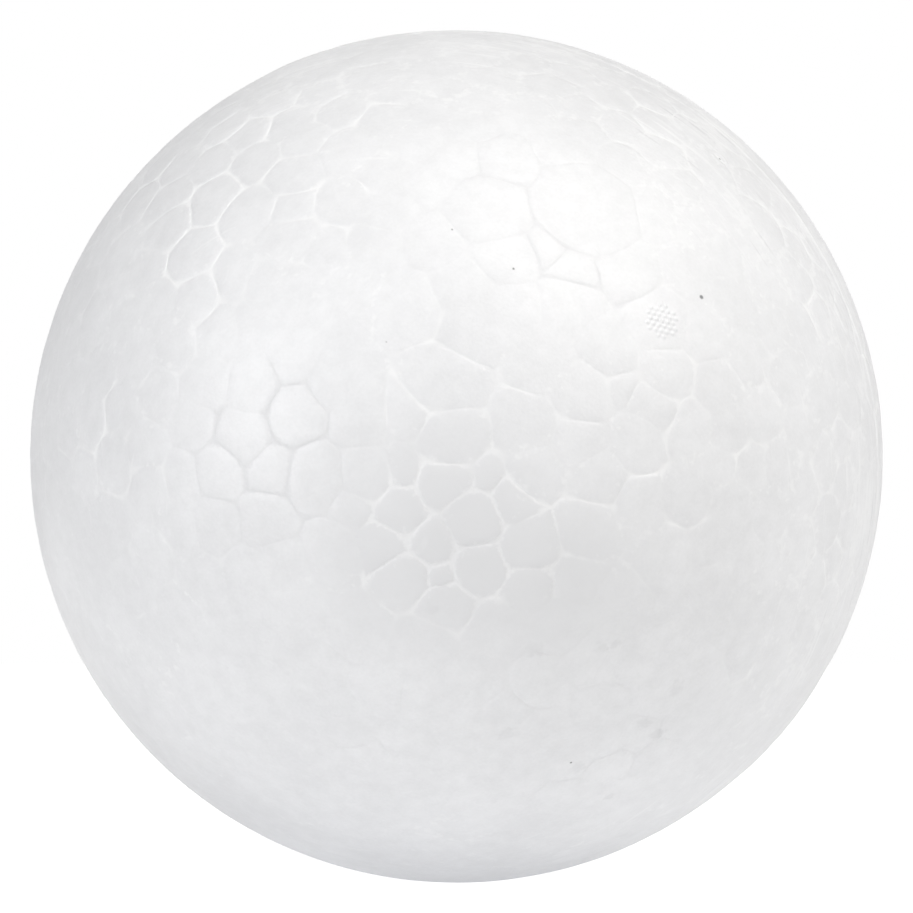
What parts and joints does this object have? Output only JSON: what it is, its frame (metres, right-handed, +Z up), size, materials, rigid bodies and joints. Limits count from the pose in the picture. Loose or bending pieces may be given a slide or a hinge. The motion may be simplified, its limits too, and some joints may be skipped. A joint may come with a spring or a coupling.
{
  "type": "polystyrene ball",
  "caption": "Smooth white craft ball moulded in one piece from expanded polystyrene beads, with fused bead cells and a faint parting line.",
  "frame": {"origin": "centre of the ball", "axes": "+Z up as the picture shows it, -Y towards the viewer, +X to the viewer's right"},
  "size_m": [0.08, 0.08, 0.08],
  "materials": {
    "foam": "cool white expanded polystyrene as it leaves the mould: satin bead faces, matt grooves between them"
  },
  "bodies": {
    "root": {"ball": "foam"}
  },
  "joints": []
}
